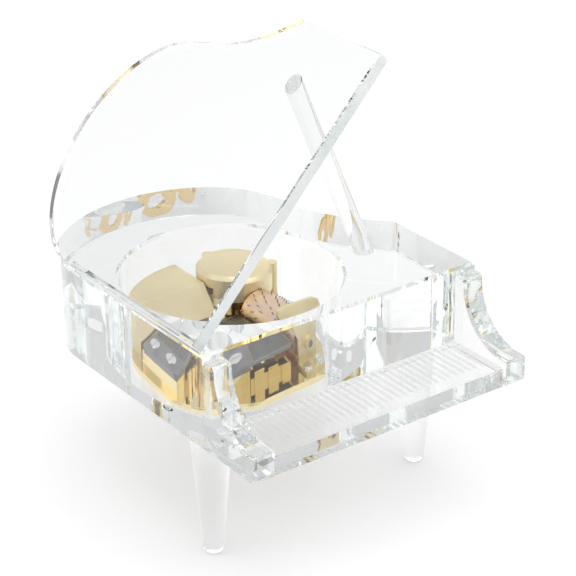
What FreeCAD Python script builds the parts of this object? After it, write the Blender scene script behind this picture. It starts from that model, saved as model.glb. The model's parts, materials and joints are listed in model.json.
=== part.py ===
# Grand-piano-shaped crystal music box with an eighteen-note comb-and-cylinder movement.
# Frame: +Z up, origin on the floor under the middle of the bounding box, -Y towards the keyboard.
# The lid is hinged along the left side (-X) and stands open towards +X. Millimetres throughout.
import FreeCAD
import Part
import Sketcher
import math
import os

from FreeCAD import Placement, Rotation, Vector

DIMENSIONS = {
    # crystal body
    "body_width": 100.0, "body_height": 30.7, "body_floor": 3.7, "edge_bevel": 0.8,
    "left_side": 70.0, "right_side": 38.0, "shoulder_radius": 3.0, "tail_x": 41.5, "tail_y": 102.2,
    "leg_height": 39.3, "leg_top_radius": 6.3, "leg_foot_radius": 3.1,
    "pocket_x": 37.5, "pocket_y": 38.0, "pocket_radius": 33.0, "key_hole_radius": 4.6,
    # keyboard
    "cheek_thick": 7.5, "cheek_length": 24.8, "cheek_height": 28.7, "cheek_sweep": 17.5,
    "shelf_depth": 22.6, "shelf_thick": 6.2, "key_pitch": 2.45, "key_groove": 1.15, "key_count": 35,
    "groove_deep": 0.2,
    "key_front": 5.2,
    # lid and prop
    "lid_angle": 47.2, "lid_width": 96.9, "lid_thick": 4.4, "lid_gap": 1.2,
    "prop_radius": 2.95, "prop_foot_x": 78.0, "prop_foot_y": 26.5, "prop_top_x": 53.6,
    # bedplate and comb
    "bed_radius": 31.4, "bed_half_width": 27.5, "bed_half_depth": 28.0, "bed_thick": 2.0,
    "comb_left": -25.0, "comb_heel": 10.5, "comb_front": -17.2, "comb_width": 22.6, "comb_thick": 2.0,
    "tooth_pitch": 1.2, "tooth_gap": 0.34, "tooth_thick": 0.9, "tooth_count": 18,
    "comb_top": 9.6, "screw_radius": 1.2, "screw_head": 2.3, "comb_screw_head": 2.8, "screw_head_high": 1.4,
    # cylinder
    "cylinder_x": 12.0, "cylinder_z": 9.4, "drum_radius": 6.5, "drum_front": -17.4, "drum_length": 22.0,
    "drum_wall": 0.7, "pin_radius": 0.22, "pin_high": 0.65, "arbor_radius": 1.2, "running_gap": 0.05,
    "pinion_teeth": 12, "crown_teeth": 32, "crown_module": 0.5, "pinion_wide": 1.4,
    # spring barrel and winding
    "barrel_y": 16.0, "barrel_radius": 8.4, "barrel_low": 12.9, "barrel_high": 4.6, "barrel_wall": 0.8,
    "wheel_module": 0.4, "barrel_teeth": 45, "wheel_thick": 1.0,
    "winding_radius": 2.0, "ratchet_radius": 4.6, "ratchet_teeth": 12, "ratchet_thick": 1.2,
    "key_width": 28.0, "key_drop": 14.0, "key_sheet": 1.6,
    "housing_radius": 11.2, "housing_wall": 1.0, "housing_top": 18.8,
    # governor
    "governor_teeth": 10, "worm_wheel_teeth": 16, "worm_radius": 1.2, "worm_thread": 0.45,
    "fly_radius": 4.0, "fly_length": 3.4, "cover_wall": 1.0, "cover_top": 17.0,
    "bracket_top": 22.2,
}

doc = FreeCAD.newDocument("crystal_piano_music_box")
sheet = doc.addObject("Spreadsheet::Sheet", "Dims")
for row, (alias, value) in enumerate(DIMENSIONS.items(), start=1):
    sheet.set("A%d" % row, alias)
    sheet.set("B%d" % row, repr(value))
    sheet.setAlias("B%d" % row, alias)
doc.recompute()


def dim(alias):
    """Value of one driving dimension, read back from the sheet."""
    return float(sheet.get(alias))


# Places worked out from the driving dimensions ------------------------------------------------
LID_LEAN = math.radians(dim("lid_angle"))
LID_BEVEL = dim("edge_bevel") / 2
LID_OVERHANG = max((dim("lid_thick") - LID_BEVEL) * math.sin(LID_LEAN),
                   dim("lid_thick") * math.sin(LID_LEAN) - LID_BEVEL * math.cos(LID_LEAN))
CENTRE_X = (dim("body_width") - LID_OVERHANG) / 2
BOTTOM = dim("leg_height")
TOP = BOTTOM + dim("body_height")
FLOOR = BOTTOM + dim("body_floor")
NODES = []


def tail_reach():
    """How far back the body's outline goes."""
    return bentside().toShape().optimalBoundingBox().YMax



def spot(x, y, z):
    """Point given from the body's front left corner, as a point of the part's frame."""
    centre_y = (tail_reach() - dim("cheek_length")) / 2
    return Vector(x - CENTRE_X, y - centre_y, z)


def works(x, y, z):
    """Point given from the middle of the pocket's floor, where the movement stands."""
    return spot(dim("pocket_x") + x, dim("pocket_y") + y, FLOOR + z)


def node(feature, label, at=None, turn=None):
    """Name a finished sub-part, put it in place and list it for export."""
    feature.Label = label
    feature.Placement = Placement(at or Vector(), turn or Rotation())
    NODES.append(feature)
    return feature


# Helpers for sketched bodies -------------------------------------------------------------------
def new_body(name):
    return doc.addObject("PartDesign::Body", name + "_body")


def origin_feature(body, role):
    return next(item for item in body.Origin.OriginFeatures if item.Role == role)


def new_sketch(body, name, role="XY_Plane", lift=None):
    """Sketch on one of the body's own origin planes; lift is an expression for its offset."""
    sketch = body.newObject("Sketcher::SketchObject", name)
    sketch.AttachmentSupport = [(origin_feature(body, role), "")]
    sketch.MapMode = "FlatFace"
    if lift:
        sketch.setExpression("AttachmentOffset.Base.z", lift)
    return sketch


def bind(sketch, constraint, name, expression):
    """Add a named dimension to a sketch and tie it to the sheet."""
    index = sketch.addConstraint(Sketcher.Constraint(*constraint))
    sketch.renameConstraint(index, name)
    sketch.setExpression("Constraints." + name, expression)


def draw_circle(sketch, radius, x=None, y=None):
    """Circle whose radius, and centre when given, are expressions of the sheet."""
    index = sketch.addGeometry(Part.Circle(Vector(1, 1, 0), Vector(0, 0, 1), 1.0), False)
    bind(sketch, ("Radius", index, 1.0), "radius%d" % index, radius)
    bind(sketch, ("DistanceX", -1, 1, index, 3, 1.0), "across%d" % index, x or "0")
    bind(sketch, ("DistanceY", -1, 1, index, 3, 1.0), "along%d" % index, y or "0")
    return index


def draw_loop(sketch, points):
    """Closed loop of straight lines through points given as plain numbers."""
    first = None
    last = None
    for start, end in zip(points, points[1:] + points[:1]):
        line = Part.LineSegment(Vector(start[0], start[1], 0), Vector(end[0], end[1], 0))
        index = sketch.addGeometry(line, False)
        if first is None:
            first = index
        else:
            sketch.addConstraint(Sketcher.Constraint("Coincident", last, 2, index, 1))
        last = index
    sketch.addConstraint(Sketcher.Constraint("Coincident", last, 2, first, 1))
    return first


def draw_rectangle(sketch, left, front, wide, deep):
    """Rectangle whose place and size are expressions of the sheet."""
    index = draw_loop(sketch, [(0.0, 0.0), (1.0, 0.0), (1.0, 1.0), (0.0, 1.0)])
    for step, kind in enumerate(("Horizontal", "Vertical", "Horizontal", "Vertical")):
        sketch.addConstraint(Sketcher.Constraint(kind, index + step))
    bind(sketch, ("DistanceX", -1, 1, index, 1, 1.0), "left%d" % index, left)
    bind(sketch, ("DistanceY", -1, 1, index, 1, 1.0), "front%d" % index, front)
    bind(sketch, ("DistanceX", index, 1, index, 2, 1.0), "wide%d" % index, wide)
    bind(sketch, ("DistanceY", index + 1, 1, index + 1, 2, 1.0), "deep%d" % index, deep)
    return index


def pad(body, sketch, name, length, reverse=False):
    feature = body.newObject("PartDesign::Pad", name)
    feature.Profile = sketch
    feature.setExpression("Length", length)
    feature.Reversed = reverse
    return feature


def pocket(body, sketch, name, length=None, reverse=False):
    """Cut with a sketch: through everything both ways, or one way to a given depth."""
    feature = body.newObject("PartDesign::Pocket", name)
    feature.Profile = sketch
    if length is None:
        feature.Type = 1
        feature.Midplane = True
    else:
        feature.setExpression("Length", length)
        feature.Reversed = reverse
    return feature


def polar(body, feature, name, count, axis="Z_Axis"):
    pattern = body.newObject("PartDesign::PolarPattern", name)
    pattern.Originals = [feature]
    pattern.Axis = (origin_feature(body, axis), [""])
    pattern.Angle = 360
    pattern.setExpression("Occurrences", count)
    body.Tip = pattern
    return pattern


def linear(body, feature, name, count, length, axis):
    pattern = body.newObject("PartDesign::LinearPattern", name)
    pattern.Originals = [feature]
    pattern.Direction = (origin_feature(body, axis), [""])
    pattern.setExpression("Occurrences", count)
    pattern.setExpression("Length", length)
    body.Tip = pattern
    return pattern


def bevel(body, base, name, size, wanted):
    """Chamfer the edges of the base feature that the test picks."""
    doc.recompute()
    picked = ["Edge%d" % (i + 1) for i, edge in enumerate(base.Shape.Edges) if wanted(edge)]
    feature = body.newObject("PartDesign::Chamfer", name)
    feature.Base = (base, picked)
    feature.setExpression("Size", size)
    return feature


# Helpers for solids built from primitives ------------------------------------------------------
def cylinder(name, radius, height, at=(0, 0, 0), axis=Vector(0, 0, 1)):
    solid = doc.addObject("Part::Cylinder", name)
    solid.setExpression("Radius", radius)
    solid.setExpression("Height", height)
    solid.Placement = Placement(Vector(*at), Rotation(Vector(0, 0, 1), axis))
    return solid


def box(name, size, at=(0, 0, 0)):
    solid = doc.addObject("Part::Box", name)
    for key, expression in zip(("Length", "Width", "Height"), size):
        solid.setExpression(key, expression)
    solid.Placement = Placement(Vector(*at), Rotation())
    return solid


def fuse(name, *shapes):
    solid = doc.addObject("Part::MultiFuse", name)
    solid.Shapes = list(shapes)
    return solid


def cut(name, base, *tools):
    solid = doc.addObject("Part::Cut", name)
    solid.Base = base
    solid.Tool = tools[0] if len(tools) == 1 else fuse(name + "_tools", *tools)
    return solid


def group(name, *shapes):
    """Several separate solids that are kept as one node."""
    solid = doc.addObject("Part::Compound", name)
    solid.Links = list(shapes)
    return solid


# Crystal body ----------------------------------------------------------------------------------
def bentside():
    """The long curve from the right shoulder round the tail to the left side."""
    wide, right, left = dim("body_width"), dim("right_side"), dim("left_side")
    tail = Vector(dim("tail_x"), dim("tail_y"), 0)
    points = [Vector(wide, right, 0), Vector(91.2, 48.2, 0), Vector(84.6, 60.0, 0), Vector(80.8, 74.0, 0),
              Vector(75.6, 86.0, 0), Vector(63.5, 96.6, 0), tail, Vector(21.6, 98.0, 0),
              Vector(8.4, 88.6, 0), Vector(2.22, 79.8, 0), Vector(0, left, 0)]
    curve = Part.BSplineCurve()
    curve.interpolate(Points=points)
    return curve


def draw_outline(sketch, scale=1.0):
    """Plan of the grand piano from its front left corner, drawn as sketch geometry."""
    wide, right, left = (dim(name) * scale for name in ("body_width", "right_side", "left_side"))
    curve = bentside()
    curve.scale(Vector(), scale)
    for edge in (Part.LineSegment(Vector(), Vector(wide, 0, 0)),
                 Part.LineSegment(Vector(wide, 0, 0), Vector(wide, right, 0)), curve,
                 Part.LineSegment(Vector(0, left, 0), Vector())):
        sketch.addGeometry(edge, False)


def round_shoulder(body, base, name, radius):
    """Round the upright edge where the right side meets the bentside."""
    doc.recompute()
    right = dim("right_side")
    picked = ["Edge%d" % (i + 1) for i, edge in enumerate(base.Shape.Edges)
              if edge.BoundBox.ZLength > 1 and edge.BoundBox.XLength < 0.01
              and edge.BoundBox.XMin > 60 and edge.BoundBox.YMin > right * 0.8]
    feature = body.newObject("PartDesign::Fillet", name)
    feature.Base = (base, picked)
    feature.setExpression("Radius", radius)
    return feature


def make_body_block():
    body = new_body("block")
    plan = new_sketch(body, "plan")
    draw_outline(plan)
    block = pad(body, plan, "block", "Dims.body_height")
    round_shoulder(body, block, "shoulder", "Dims.shoulder_radius")
    rim = new_sketch(body, "pocket_plan", lift="Dims.body_floor")
    draw_circle(rim, "Dims.pocket_radius", "Dims.pocket_x", "Dims.pocket_y")
    well = pocket(body, rim, "well", "Dims.body_height", reverse=True)
    holes = new_sketch(body, "floor_holes")
    key_x = "Dims.pocket_x + Dims.cylinder_x"
    draw_circle(holes, "Dims.key_hole_radius", key_x, "Dims.pocket_y + Dims.barrel_y")
    for x, y in MOUNTING_SPOTS:
        draw_circle(holes, "Dims.screw_radius + 0.4", "Dims.pocket_x + %.2f" % x,
                    "Dims.pocket_y + %.2f" % y)
    pierced = pocket(body, holes, "floor_cut", "Dims.body_floor", reverse=True)

    def outer(edge):
        flat = edge.BoundBox.ZLength < 0.01
        level = edge.BoundBox.ZMin
        near_ends = abs(level) < 0.01 or abs(level - dim("body_height")) < 0.01
        return flat and near_ends and (edge.Length > 30 or edge.BoundBox.XMin > dim("body_width") * 0.9)
    bevel(body, pierced, "polished_bevels", "Dims.edge_bevel", outer)
    return node(body, "body_block", spot(0, 0, BOTTOM))


MOUNTING_SPOTS = [(25 * math.cos(math.radians(turn)), 25 * math.sin(math.radians(turn)))
                  for turn in (92, 205, 318)]


def make_shelf():
    body = new_body("shelf")
    plan = new_sketch(body, "shelf_plan")
    draw_rectangle(plan, "Dims.cheek_thick", "-Dims.shelf_depth",
                   "Dims.body_width - 2 * Dims.cheek_thick", "Dims.shelf_depth")
    pad(body, plan, "slab", "Dims.shelf_thick")
    groove = new_sketch(body, "groove_plan", lift="Dims.shelf_thick - Dims.groove_deep")
    draw_rectangle(groove, "Dims.cheek_thick + Dims.key_pitch", "Dims.key_front - Dims.shelf_depth",
                   "Dims.key_groove", "Dims.shelf_depth - Dims.key_front - 0.8")
    first = pocket(body, groove, "groove", "Dims.groove_deep", reverse=True)
    linear(body, first, "key_grooves", "Dims.key_count - 2",
           "(Dims.key_count - 3) * Dims.key_pitch", "X_Axis")
    return node(body, "keyboard_shelf", spot(0, 0, BOTTOM))


def make_cheek(label, x):
    """Key block beside the keyboard: a flat-topped block swept down to a low nose."""
    body = new_body(label)
    side = new_sketch(body, label + "_side", "YZ_Plane")
    high, long, sweep = dim("cheek_height"), dim("cheek_length"), dim("cheek_sweep")
    crown, nose, toe = 1.9, 1.2, 3.0
    foot = high - crown - sweep
    shoulder_y = -(long - sweep - crown) + crown / 2
    hollow = Vector(shoulder_y - sweep, high - crown, 0)
    corners = [Vector(0, 0, 0), Vector(0, high, 0), Vector(shoulder_y + crown, high, 0)]
    slant = math.sqrt(0.5)
    edges = [Part.LineSegment(corners[0], corners[1]), Part.LineSegment(corners[1], corners[2]),
             Part.Arc(corners[2], Vector(shoulder_y + crown * (1 - slant), high - crown * (1 - slant), 0),
                      Vector(shoulder_y, high - crown, 0)),
             Part.Arc(Vector(shoulder_y, high - crown, 0),
                      hollow + Vector(sweep * slant, -sweep * slant, 0),
                      Vector(hollow.x, foot, 0)),
             Part.LineSegment(Vector(hollow.x, foot, 0), Vector(nose - long, foot, 0)),
             Part.Arc(Vector(nose - long, foot, 0),
                      Vector(nose * (1 - slant) - long, foot - nose * (1 - slant), 0),
                      Vector(-long, foot - nose, 0)),
             Part.LineSegment(Vector(-long, foot - nose, 0), Vector(-long, toe, 0)),
             Part.Arc(Vector(-long, toe, 0), Vector(toe * (1 - slant) - long, toe * (1 - slant), 0),
                      Vector(toe - long, 0, 0)),
             Part.LineSegment(Vector(toe - long, 0, 0), corners[0])]
    for edge in edges:
        side.addGeometry(edge, False)
    for index in range(len(edges)):
        following = (index + 1) % len(edges)
        ends = (edges[index].EndPoint, edges[following].StartPoint)
        if (ends[0] - ends[1]).Length < 1e-6 and not isinstance(edges[index], Part.Arc) \
                and not isinstance(edges[following], Part.Arc):
            side.addConstraint(Sketcher.Constraint("Coincident", index, 2, following, 1))
    base = pad(body, side, label + "_slab", "Dims.cheek_thick")
    bevel(body, base, label + "_bevels", "Dims.edge_bevel",
          lambda edge: edge.BoundBox.XLength < 0.01 and edge.BoundBox.YMin < -0.01)
    return node(body, label, spot(x, 0, BOTTOM))


def make_leg(label, x, y):
    """Turned leg: a slim cone with a rounded foot."""
    body = new_body(label)
    half = new_sketch(body, label + "_half", "XZ_Plane")
    high, top, foot = dim("leg_height"), dim("leg_top_radius"), dim("leg_foot_radius")
    round_high = foot * 0.55
    flat = foot * 0.45
    corner = Vector(flat + (foot - flat) * 0.72, round_high * 0.32, 0)
    edges = [Part.LineSegment(Vector(0, high, 0), Vector(0, 0, 0)),
             Part.LineSegment(Vector(0, 0, 0), Vector(flat, 0, 0)),
             Part.Arc(Vector(flat, 0, 0), corner, Vector(foot, round_high, 0)),
             Part.LineSegment(Vector(foot, round_high, 0), Vector(top, high, 0)),
             Part.LineSegment(Vector(top, high, 0), Vector(0, high, 0))]
    for edge in edges:
        half.addGeometry(edge, False)
    turned = body.newObject("PartDesign::Revolution", label + "_turned")
    turned.Profile = half
    turned.ReferenceAxis = (half, ["V_Axis"])
    turned.Angle = 360
    return node(body, label, spot(x, y, 0))


# Lid and its prop ------------------------------------------------------------------------------
def lid_turn():
    return Rotation(Vector(0, 1, 0), -dim("lid_angle"))


def lid_foot():
    return spot(0, 0, TOP + dim("lid_gap"))


def make_lid():
    body = new_body("lid")
    plan = new_sketch(body, "lid_plan")
    draw_outline(plan, dim("lid_width") / dim("body_width"))
    sheet_pad = pad(body, plan, "lid_sheet", "Dims.lid_thick")
    plate = round_shoulder(body, sheet_pad, "lid_shoulder", "Dims.shoulder_radius / 2")
    bevel(body, plate, "lid_bevels", "Dims.edge_bevel / 2",
          lambda edge: edge.BoundBox.ZLength < 0.01 and edge.BoundBox.XMax > 1)
    return node(body, "lid_plate", lid_foot(), lid_turn())


def make_lid_bond():
    """Clear bead of adhesive that carries the lid's lower edge on the body."""
    body = new_body("bond")
    section = new_sketch(body, "bond_section", "XZ_Plane")
    gap = dim("lid_gap")
    run = gap * 1.1
    points = [(0.0, 0.0), (gap * 2, 0.0), (run, gap + run * math.tan(LID_LEAN)), (0.0, gap)]
    draw_loop(section, points)
    pad(body, section, "bond_bead", "Dims.left_side * 0.94", reverse=True)
    return node(body, "lid_bond", spot(0, 1.5, TOP))


def make_prop():
    """Round rod cut level at the body's top and flush with the lid's inner face."""
    foot = spot(dim("prop_foot_x"), dim("prop_foot_y"), TOP)
    rise = dim("lid_gap") + dim("prop_top_x") * math.tan(LID_LEAN)
    head = spot(dim("prop_top_x"), dim("prop_foot_y"), TOP + rise)
    axis = head - foot
    rod = cylinder("rod", "Dims.prop_radius", "150", foot - axis.normalize() * 20, axis)
    span = rise + 12
    keep = box("prop_room", ("2 * Dims.body_width", "60", "%.3f" % span),
               spot(0, dim("prop_foot_y") - 30, TOP))
    beyond = doc.addObject("Part::Box", "beyond_lid")
    beyond.setExpression("Length", "3 * Dims.body_width")
    beyond.setExpression("Width", "80")
    beyond.setExpression("Height", "60")
    slope = lid_turn()
    beyond.Placement = Placement(lid_foot() + slope.multVec(Vector(-20, dim("prop_foot_y") - 40, 0)), slope)
    trimmed = doc.addObject("Part::Common", "trimmed_rod")
    trimmed.Base = rod
    trimmed.Tool = keep
    return node(cut("prop_cut", trimmed, beyond), "lid_prop")


# Bedplate and comb -----------------------------------------------------------------------------
COMB_SCREWS = [(-19.8, -11.4), (-19.8, -0.6)]


def make_bedplate():
    body = new_body("bed")
    plan = new_sketch(body, "bed_plan")
    draw_circle(plan, "Dims.bed_radius")
    pad(body, plan, "disc", "Dims.bed_thick")
    flats = new_sketch(body, "bed_flats")
    draw_rectangle(flats, "-40", "-40", "80", "80")
    draw_rectangle(flats, "-Dims.bed_half_width", "-Dims.bed_half_depth",
                   "2 * Dims.bed_half_width", "2 * Dims.bed_half_depth")
    pocket(body, flats, "flatted")
    base = new_sketch(body, "comb_base_plan", lift="Dims.bed_thick")
    draw_rectangle(base, "Dims.comb_left", "Dims.comb_front", "Dims.comb_heel - 0.6", "Dims.comb_width")
    pad(body, base, "comb_base", "Dims.comb_top - Dims.comb_thick - Dims.bed_thick")
    rise = dim("comb_top") - dim("comb_thick") - dim("bed_thick")
    for index, (left, wide, tall) in enumerate(((-13.6, 4.2, 0.95), (-7.6, 4.6, 0.80), (-1.2, 4.2, 0.58))):
        step = new_sketch(body, "step_plan%d" % index, lift="Dims.bed_thick")
        draw_rectangle(step, "%.2f" % left, "Dims.comb_front - 1.6", "%.2f" % wide, "4.4")
        pad(body, step, "step%d" % index, "%.3f" % (rise * tall))
    web = new_sketch(body, "web_plan", lift="Dims.bed_thick")
    draw_rectangle(web, "-15", "Dims.comb_front - 0.5", "17.6", "3.0")
    pad(body, web, "web", "%.3f" % (rise * 0.5))
    trough = new_sketch(body, "trough_plan", lift="Dims.bed_thick - 0.8")
    draw_rectangle(trough, "Dims.cylinder_x - 5.6", "Dims.drum_front - 0.6", "11.2",
                   "Dims.drum_length + 1.2")
    pocket(body, trough, "trough", "3", reverse=True)
    holes = new_sketch(body, "bed_holes")
    draw_circle(holes, "Dims.winding_radius + Dims.running_gap", "Dims.cylinder_x", "Dims.barrel_y")
    for x, y in COMB_SCREWS:
        draw_circle(holes, "Dims.screw_radius", "%.2f" % x, "%.2f" % y)
    for x, y in MOUNTING_SPOTS + BRACKET_SCREWS + GOVERNOR_SCREWS + CLICK_SPOT:
        draw_circle(holes, "Dims.screw_radius", "%.3f" % x, "%.3f" % y)
    pocket(body, holes, "bored")
    return node(body, "bedplate", works(0, 0, 0))


BRACKET_SCREWS = [(8.6, -23.8), (15.4, -23.8)]
PILLAR_TURNS = (-12, 95)
GOVERNOR_SCREWS = [(-9.4, 13.4), (-9.4, 19.4)]
CLICK_TURN, CLICK_REACH = 36, 7.4
CLICK_SPOT = [(dim("cylinder_x") + CLICK_REACH * math.cos(math.radians(CLICK_TURN)),
               dim("barrel_y") + CLICK_REACH * math.sin(math.radians(CLICK_TURN)))]


def make_comb():
    """Heel plate and eighteen reeds of tempered steel, cut by seventeen slits."""
    body = new_body("comb")
    plan = new_sketch(body, "comb_plan")
    reach = "Dims.cylinder_x - Dims.drum_radius - Dims.pin_high - 0.12 - Dims.comb_left"
    draw_rectangle(plan, "0", "0", reach, "Dims.comb_width")
    pad(body, plan, "comb_plate", "Dims.comb_thick")
    relief = new_sketch(body, "reed_relief")
    draw_rectangle(relief, "Dims.comb_heel", "-1", "40", "Dims.comb_width + 2")
    pocket(body, relief, "thinned", "Dims.comb_thick - Dims.tooth_thick", reverse=True)
    slit = new_sketch(body, "slit_plan")
    margin = "(Dims.comb_width - Dims.tooth_count * Dims.tooth_pitch) / 2"
    draw_rectangle(slit, "Dims.comb_heel + 1.5", margin + " + Dims.tooth_pitch - Dims.tooth_gap / 2",
                   "40", "Dims.tooth_gap")
    first = pocket(body, slit, "slit")
    linear(body, first, "slits", "Dims.tooth_count - 1",
           "(Dims.tooth_count - 2) * Dims.tooth_pitch", "Y_Axis")
    holes = new_sketch(body, "comb_holes")
    for x, y in COMB_SCREWS:
        draw_circle(holes, "Dims.screw_radius + 0.1", "%.2f - Dims.comb_left" % x,
                    "%.2f - Dims.comb_front" % y)
    pocket(body, holes, "drilled")
    corner = new_sketch(body, "comb_corners")
    draw_loop(corner, [(-1.0, -1.0), (2.4, -1.0), (-1.0, 2.4)])
    wide = dim("comb_width")
    draw_loop(corner, [(-1.0, wide + 1), (-1.0, wide - 2.4), (2.4, wide + 1)])
    pocket(body, corner, "cut_corners")
    low = dim("comb_top") - dim("comb_thick")
    return node(body, "comb", works(dim("comb_left"), dim("comb_front"), low))


def screw(name, x, y, seat, depth, slot=True, head=None):
    """Cheese-head screw standing on its seat, with a cut slot."""
    shank = cylinder(name + "_shank", "Dims.screw_radius", "%.3f" % depth, (x, y, seat - depth))
    cap = cylinder(name + "_cap", head or "Dims.screw_head", "Dims.screw_head_high", (x, y, seat))
    whole = fuse(name + "_blank", shank, cap)
    if not slot:
        return whole
    reach = dim("screw_head") + 1
    blade = box(name + "_slot", ("%.3f" % (2 * reach), "0.6", "2"),
                (x - reach, y - 0.3, seat + dim("screw_head_high") * 0.45))
    return cut(name, whole, blade)


def make_screws():
    """Every set of like screws is one node."""
    comb_top = dim("comb_top")
    bed = dim("bed_thick")
    comb = [screw("comb_screw%d" % i, x, y, comb_top, comb_top - 1, head="Dims.comb_screw_head")
            for i, (x, y) in enumerate(COMB_SCREWS)]
    node(group("comb_screw_set", *comb), "comb_screws", works(0, 0, 0))
    bracket = [screw("bracket_screw%d" % i, x, y, bed + 1.2, bed + 0.8, head="Dims.screw_head * 0.85")
               for i, (x, y) in enumerate(BRACKET_SCREWS)]
    node(group("bracket_screw_set", *bracket), "bracket_screws", works(0, 0, 0))
    governor = [screw("governor_screw%d" % i, x, y, bed + 1.0, bed + 0.6, head="Dims.screw_head * 0.85")
                for i, (x, y) in enumerate(GOVERNOR_SCREWS)]
    node(group("governor_screw_set", *governor), "governor_screws", works(0, 0, 0))
    turned = Rotation(Vector(1, 0, 0), 180)
    under = [screw("mounting_screw%d" % i, x, -y, dim("body_floor"), dim("body_floor") + bed * 0.8)
             for i, (x, y) in enumerate(MOUNTING_SPOTS)]
    node(group("mounting_screw_set", *under), "mounting_screws", works(0, 0, 0), turned)


# Cylinder --------------------------------------------------------------------------------------
ALONG = Rotation(Vector(0, 0, 1), Vector(0, 1, 0))


def axis_point(y):
    """Point of the cylinder's axis."""
    return works(dim("cylinder_x"), y, dim("cylinder_z"))


def make_drum():
    outer = cylinder("drum_outer", "Dims.drum_radius", "Dims.drum_length")
    inner = cylinder("drum_inner", "Dims.drum_radius - Dims.drum_wall", "Dims.drum_length")
    front = axis_point(dim("drum_front"))
    node(cut("drum_tube", outer, inner), "cylinder_drum", front, ALONG)
    ends = []
    for name, z in (("near_end", 0.0), ("far_end", dim("drum_length") - 1.2)):
        disc = cylinder(name, "Dims.drum_radius - Dims.drum_wall", "1.2", (0, 0, z))
        bore = cylinder(name + "_bore", "Dims.arbor_radius", "1.2", (0, 0, z))
        ends.append(cut(name + "_disc", disc, bore))
    node(group("drum_ends", *ends), "drum_end_plates", front, ALONG)


def make_pins():
    """Short steel pins on eighteen tracks round the drum."""
    pins = []
    radius, rise = dim("drum_radius"), dim("pin_high")
    golden = 137.508
    count = int(dim("tooth_count"))
    margin = (dim("comb_width") - count * dim("tooth_pitch")) / 2 + dim("comb_front") - dim("drum_front")
    for note in range(count):
        height = margin + (note + 0.5) * dim("tooth_pitch")
        for beat in range(4 + (note * 5) % 4):
            turn = math.radians(golden * (note * 7 + beat) + 11 * note + 13)
            out = Vector(math.cos(turn), math.sin(turn), 0)
            pins.append(Part.makeCylinder(dim("pin_radius"), rise + 0.3,
                                          out * (radius - 0.3) + Vector(0, 0, height), out))
    feature = doc.addObject("Part::Feature", "pin_field")
    feature.Shape = Part.makeCompound(pins)
    node(feature, "cylinder_pins", axis_point(dim("drum_front")), ALONG)


def draw_tooth(sketch, root, tip, half_root, half_tip):
    """One gear tooth as a closed loop, centred on the sketch's X axis."""
    points = []
    for radius, half in ((root - 0.15, half_root), (tip, half_tip)):
        points.append((radius * math.cos(half), -radius * math.sin(half)))
    mirrored = [(x, -y) for x, y in reversed(points)]
    draw_loop(sketch, points + mirrored)


def make_wheel(label, teeth_alias, module_alias, thick, bore):
    """Spur wheel standing on its own XY plane, its teeth thin enough to run freely."""
    body = new_body(label)
    teeth, module = int(dim(teeth_alias)), dim(module_alias)
    pitch = teeth * module / 2
    blank = new_sketch(body, label + "_blank")
    draw_circle(blank, "Dims.%s * Dims.%s / 2 - 1.1 * Dims.%s" % (teeth_alias, module_alias, module_alias))
    draw_circle(blank, bore)
    pad(body, blank, label + "_disc", thick)
    tooth = new_sketch(body, label + "_tooth")
    step = math.pi / teeth
    draw_tooth(tooth, pitch - 1.1 * module, pitch + 0.85 * module, step * 0.56, step * 0.20)
    first = pad(body, tooth, label + "_first", thick)
    polar(body, first, label + "_teeth", "Dims." + teeth_alias)
    return body


def make_cylinder_train():
    front = dim("drum_front") - 3.6
    back = dim("barrel_y") - 4.2
    arbor = cylinder("arbor_rod", "Dims.arbor_radius", "%.3f" % (back - front))
    node(arbor, "cylinder_arbor", axis_point(front), ALONG)
    crown = dim("crown_teeth") * dim("crown_module") / 2
    pinion = make_wheel("pinion", "pinion_teeth", "crown_module", "Dims.pinion_wide", "Dims.arbor_radius")
    at = axis_point(dim("barrel_y") - crown - dim("pinion_wide") / 2)
    node(pinion, "cylinder_pinion", at, ALONG)


def make_brackets():
    """Upright bearings of the cylinder: the front one has an eye, the rear one is a plain post."""
    gap = "Dims.arbor_radius + Dims.running_gap"
    axis_z = dim("cylinder_z")
    bed = dim("bed_thick")
    face = dim("drum_front") - 2.4
    x = dim("cylinder_x")
    foot = box("front_foot", ("11", "7", "1.2"), (x - 5.5, face - 5.8, bed))
    forward = Vector(0, 1, 0)
    top = dim("bracket_top")
    fan = new_body("front_fan")
    front = new_sketch(fan, "fan_front", "XZ_Plane")
    draw_loop(front, [(x - 5.5, bed), (x + 5.5, bed), (x + 5.5, top - 3.0), (x + 4.7, top - 0.9),
                      (x + 2.8, top), (x - 8.2, top), (x - 9.8, top - 0.9), (x - 10.0, top - 2.6),
                      (x - 7.6, top - 7.5), (x - 5.5, axis_z + 2.0)])
    pad(fan, front, "fan_plate", "1.2")
    fan.Placement = Placement(Vector(0, face + 1.2, 0), Rotation())
    eye = cylinder("front_eye", "2.5", "3.2", (x, face - 2.0, axis_z), forward)
    whole = fuse("front_bracket_blank", foot, fan, eye)
    bore = cylinder("front_bore", gap, "8", (x, face - 4, axis_z), forward)
    holes = [cylinder("front_hole%d" % i, "Dims.screw_radius + 0.1", "4", (sx, sy, bed - 1))
             for i, (sx, sy) in enumerate(BRACKET_SCREWS)]
    node(cut("front_bracket", whole, bore, *holes), "front_bearing_bracket", works(0, 0, 0))
    rear = dim("barrel_y") - 6.3
    slab = box("rear_slab", ("5", "1.2", "%.3f" % (axis_z - bed)), (x - 2.5, rear, bed))
    cap = cylinder("rear_cap", "2.5", "1.2", (x, rear, axis_z), forward)
    hole = cylinder("rear_bore", gap, "6", (x, rear - 2, axis_z), forward)
    node(cut("rear_bracket", fuse("rear_blank", slab, cap), hole), "rear_bearing_bracket", works(0, 0, 0))


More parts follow.
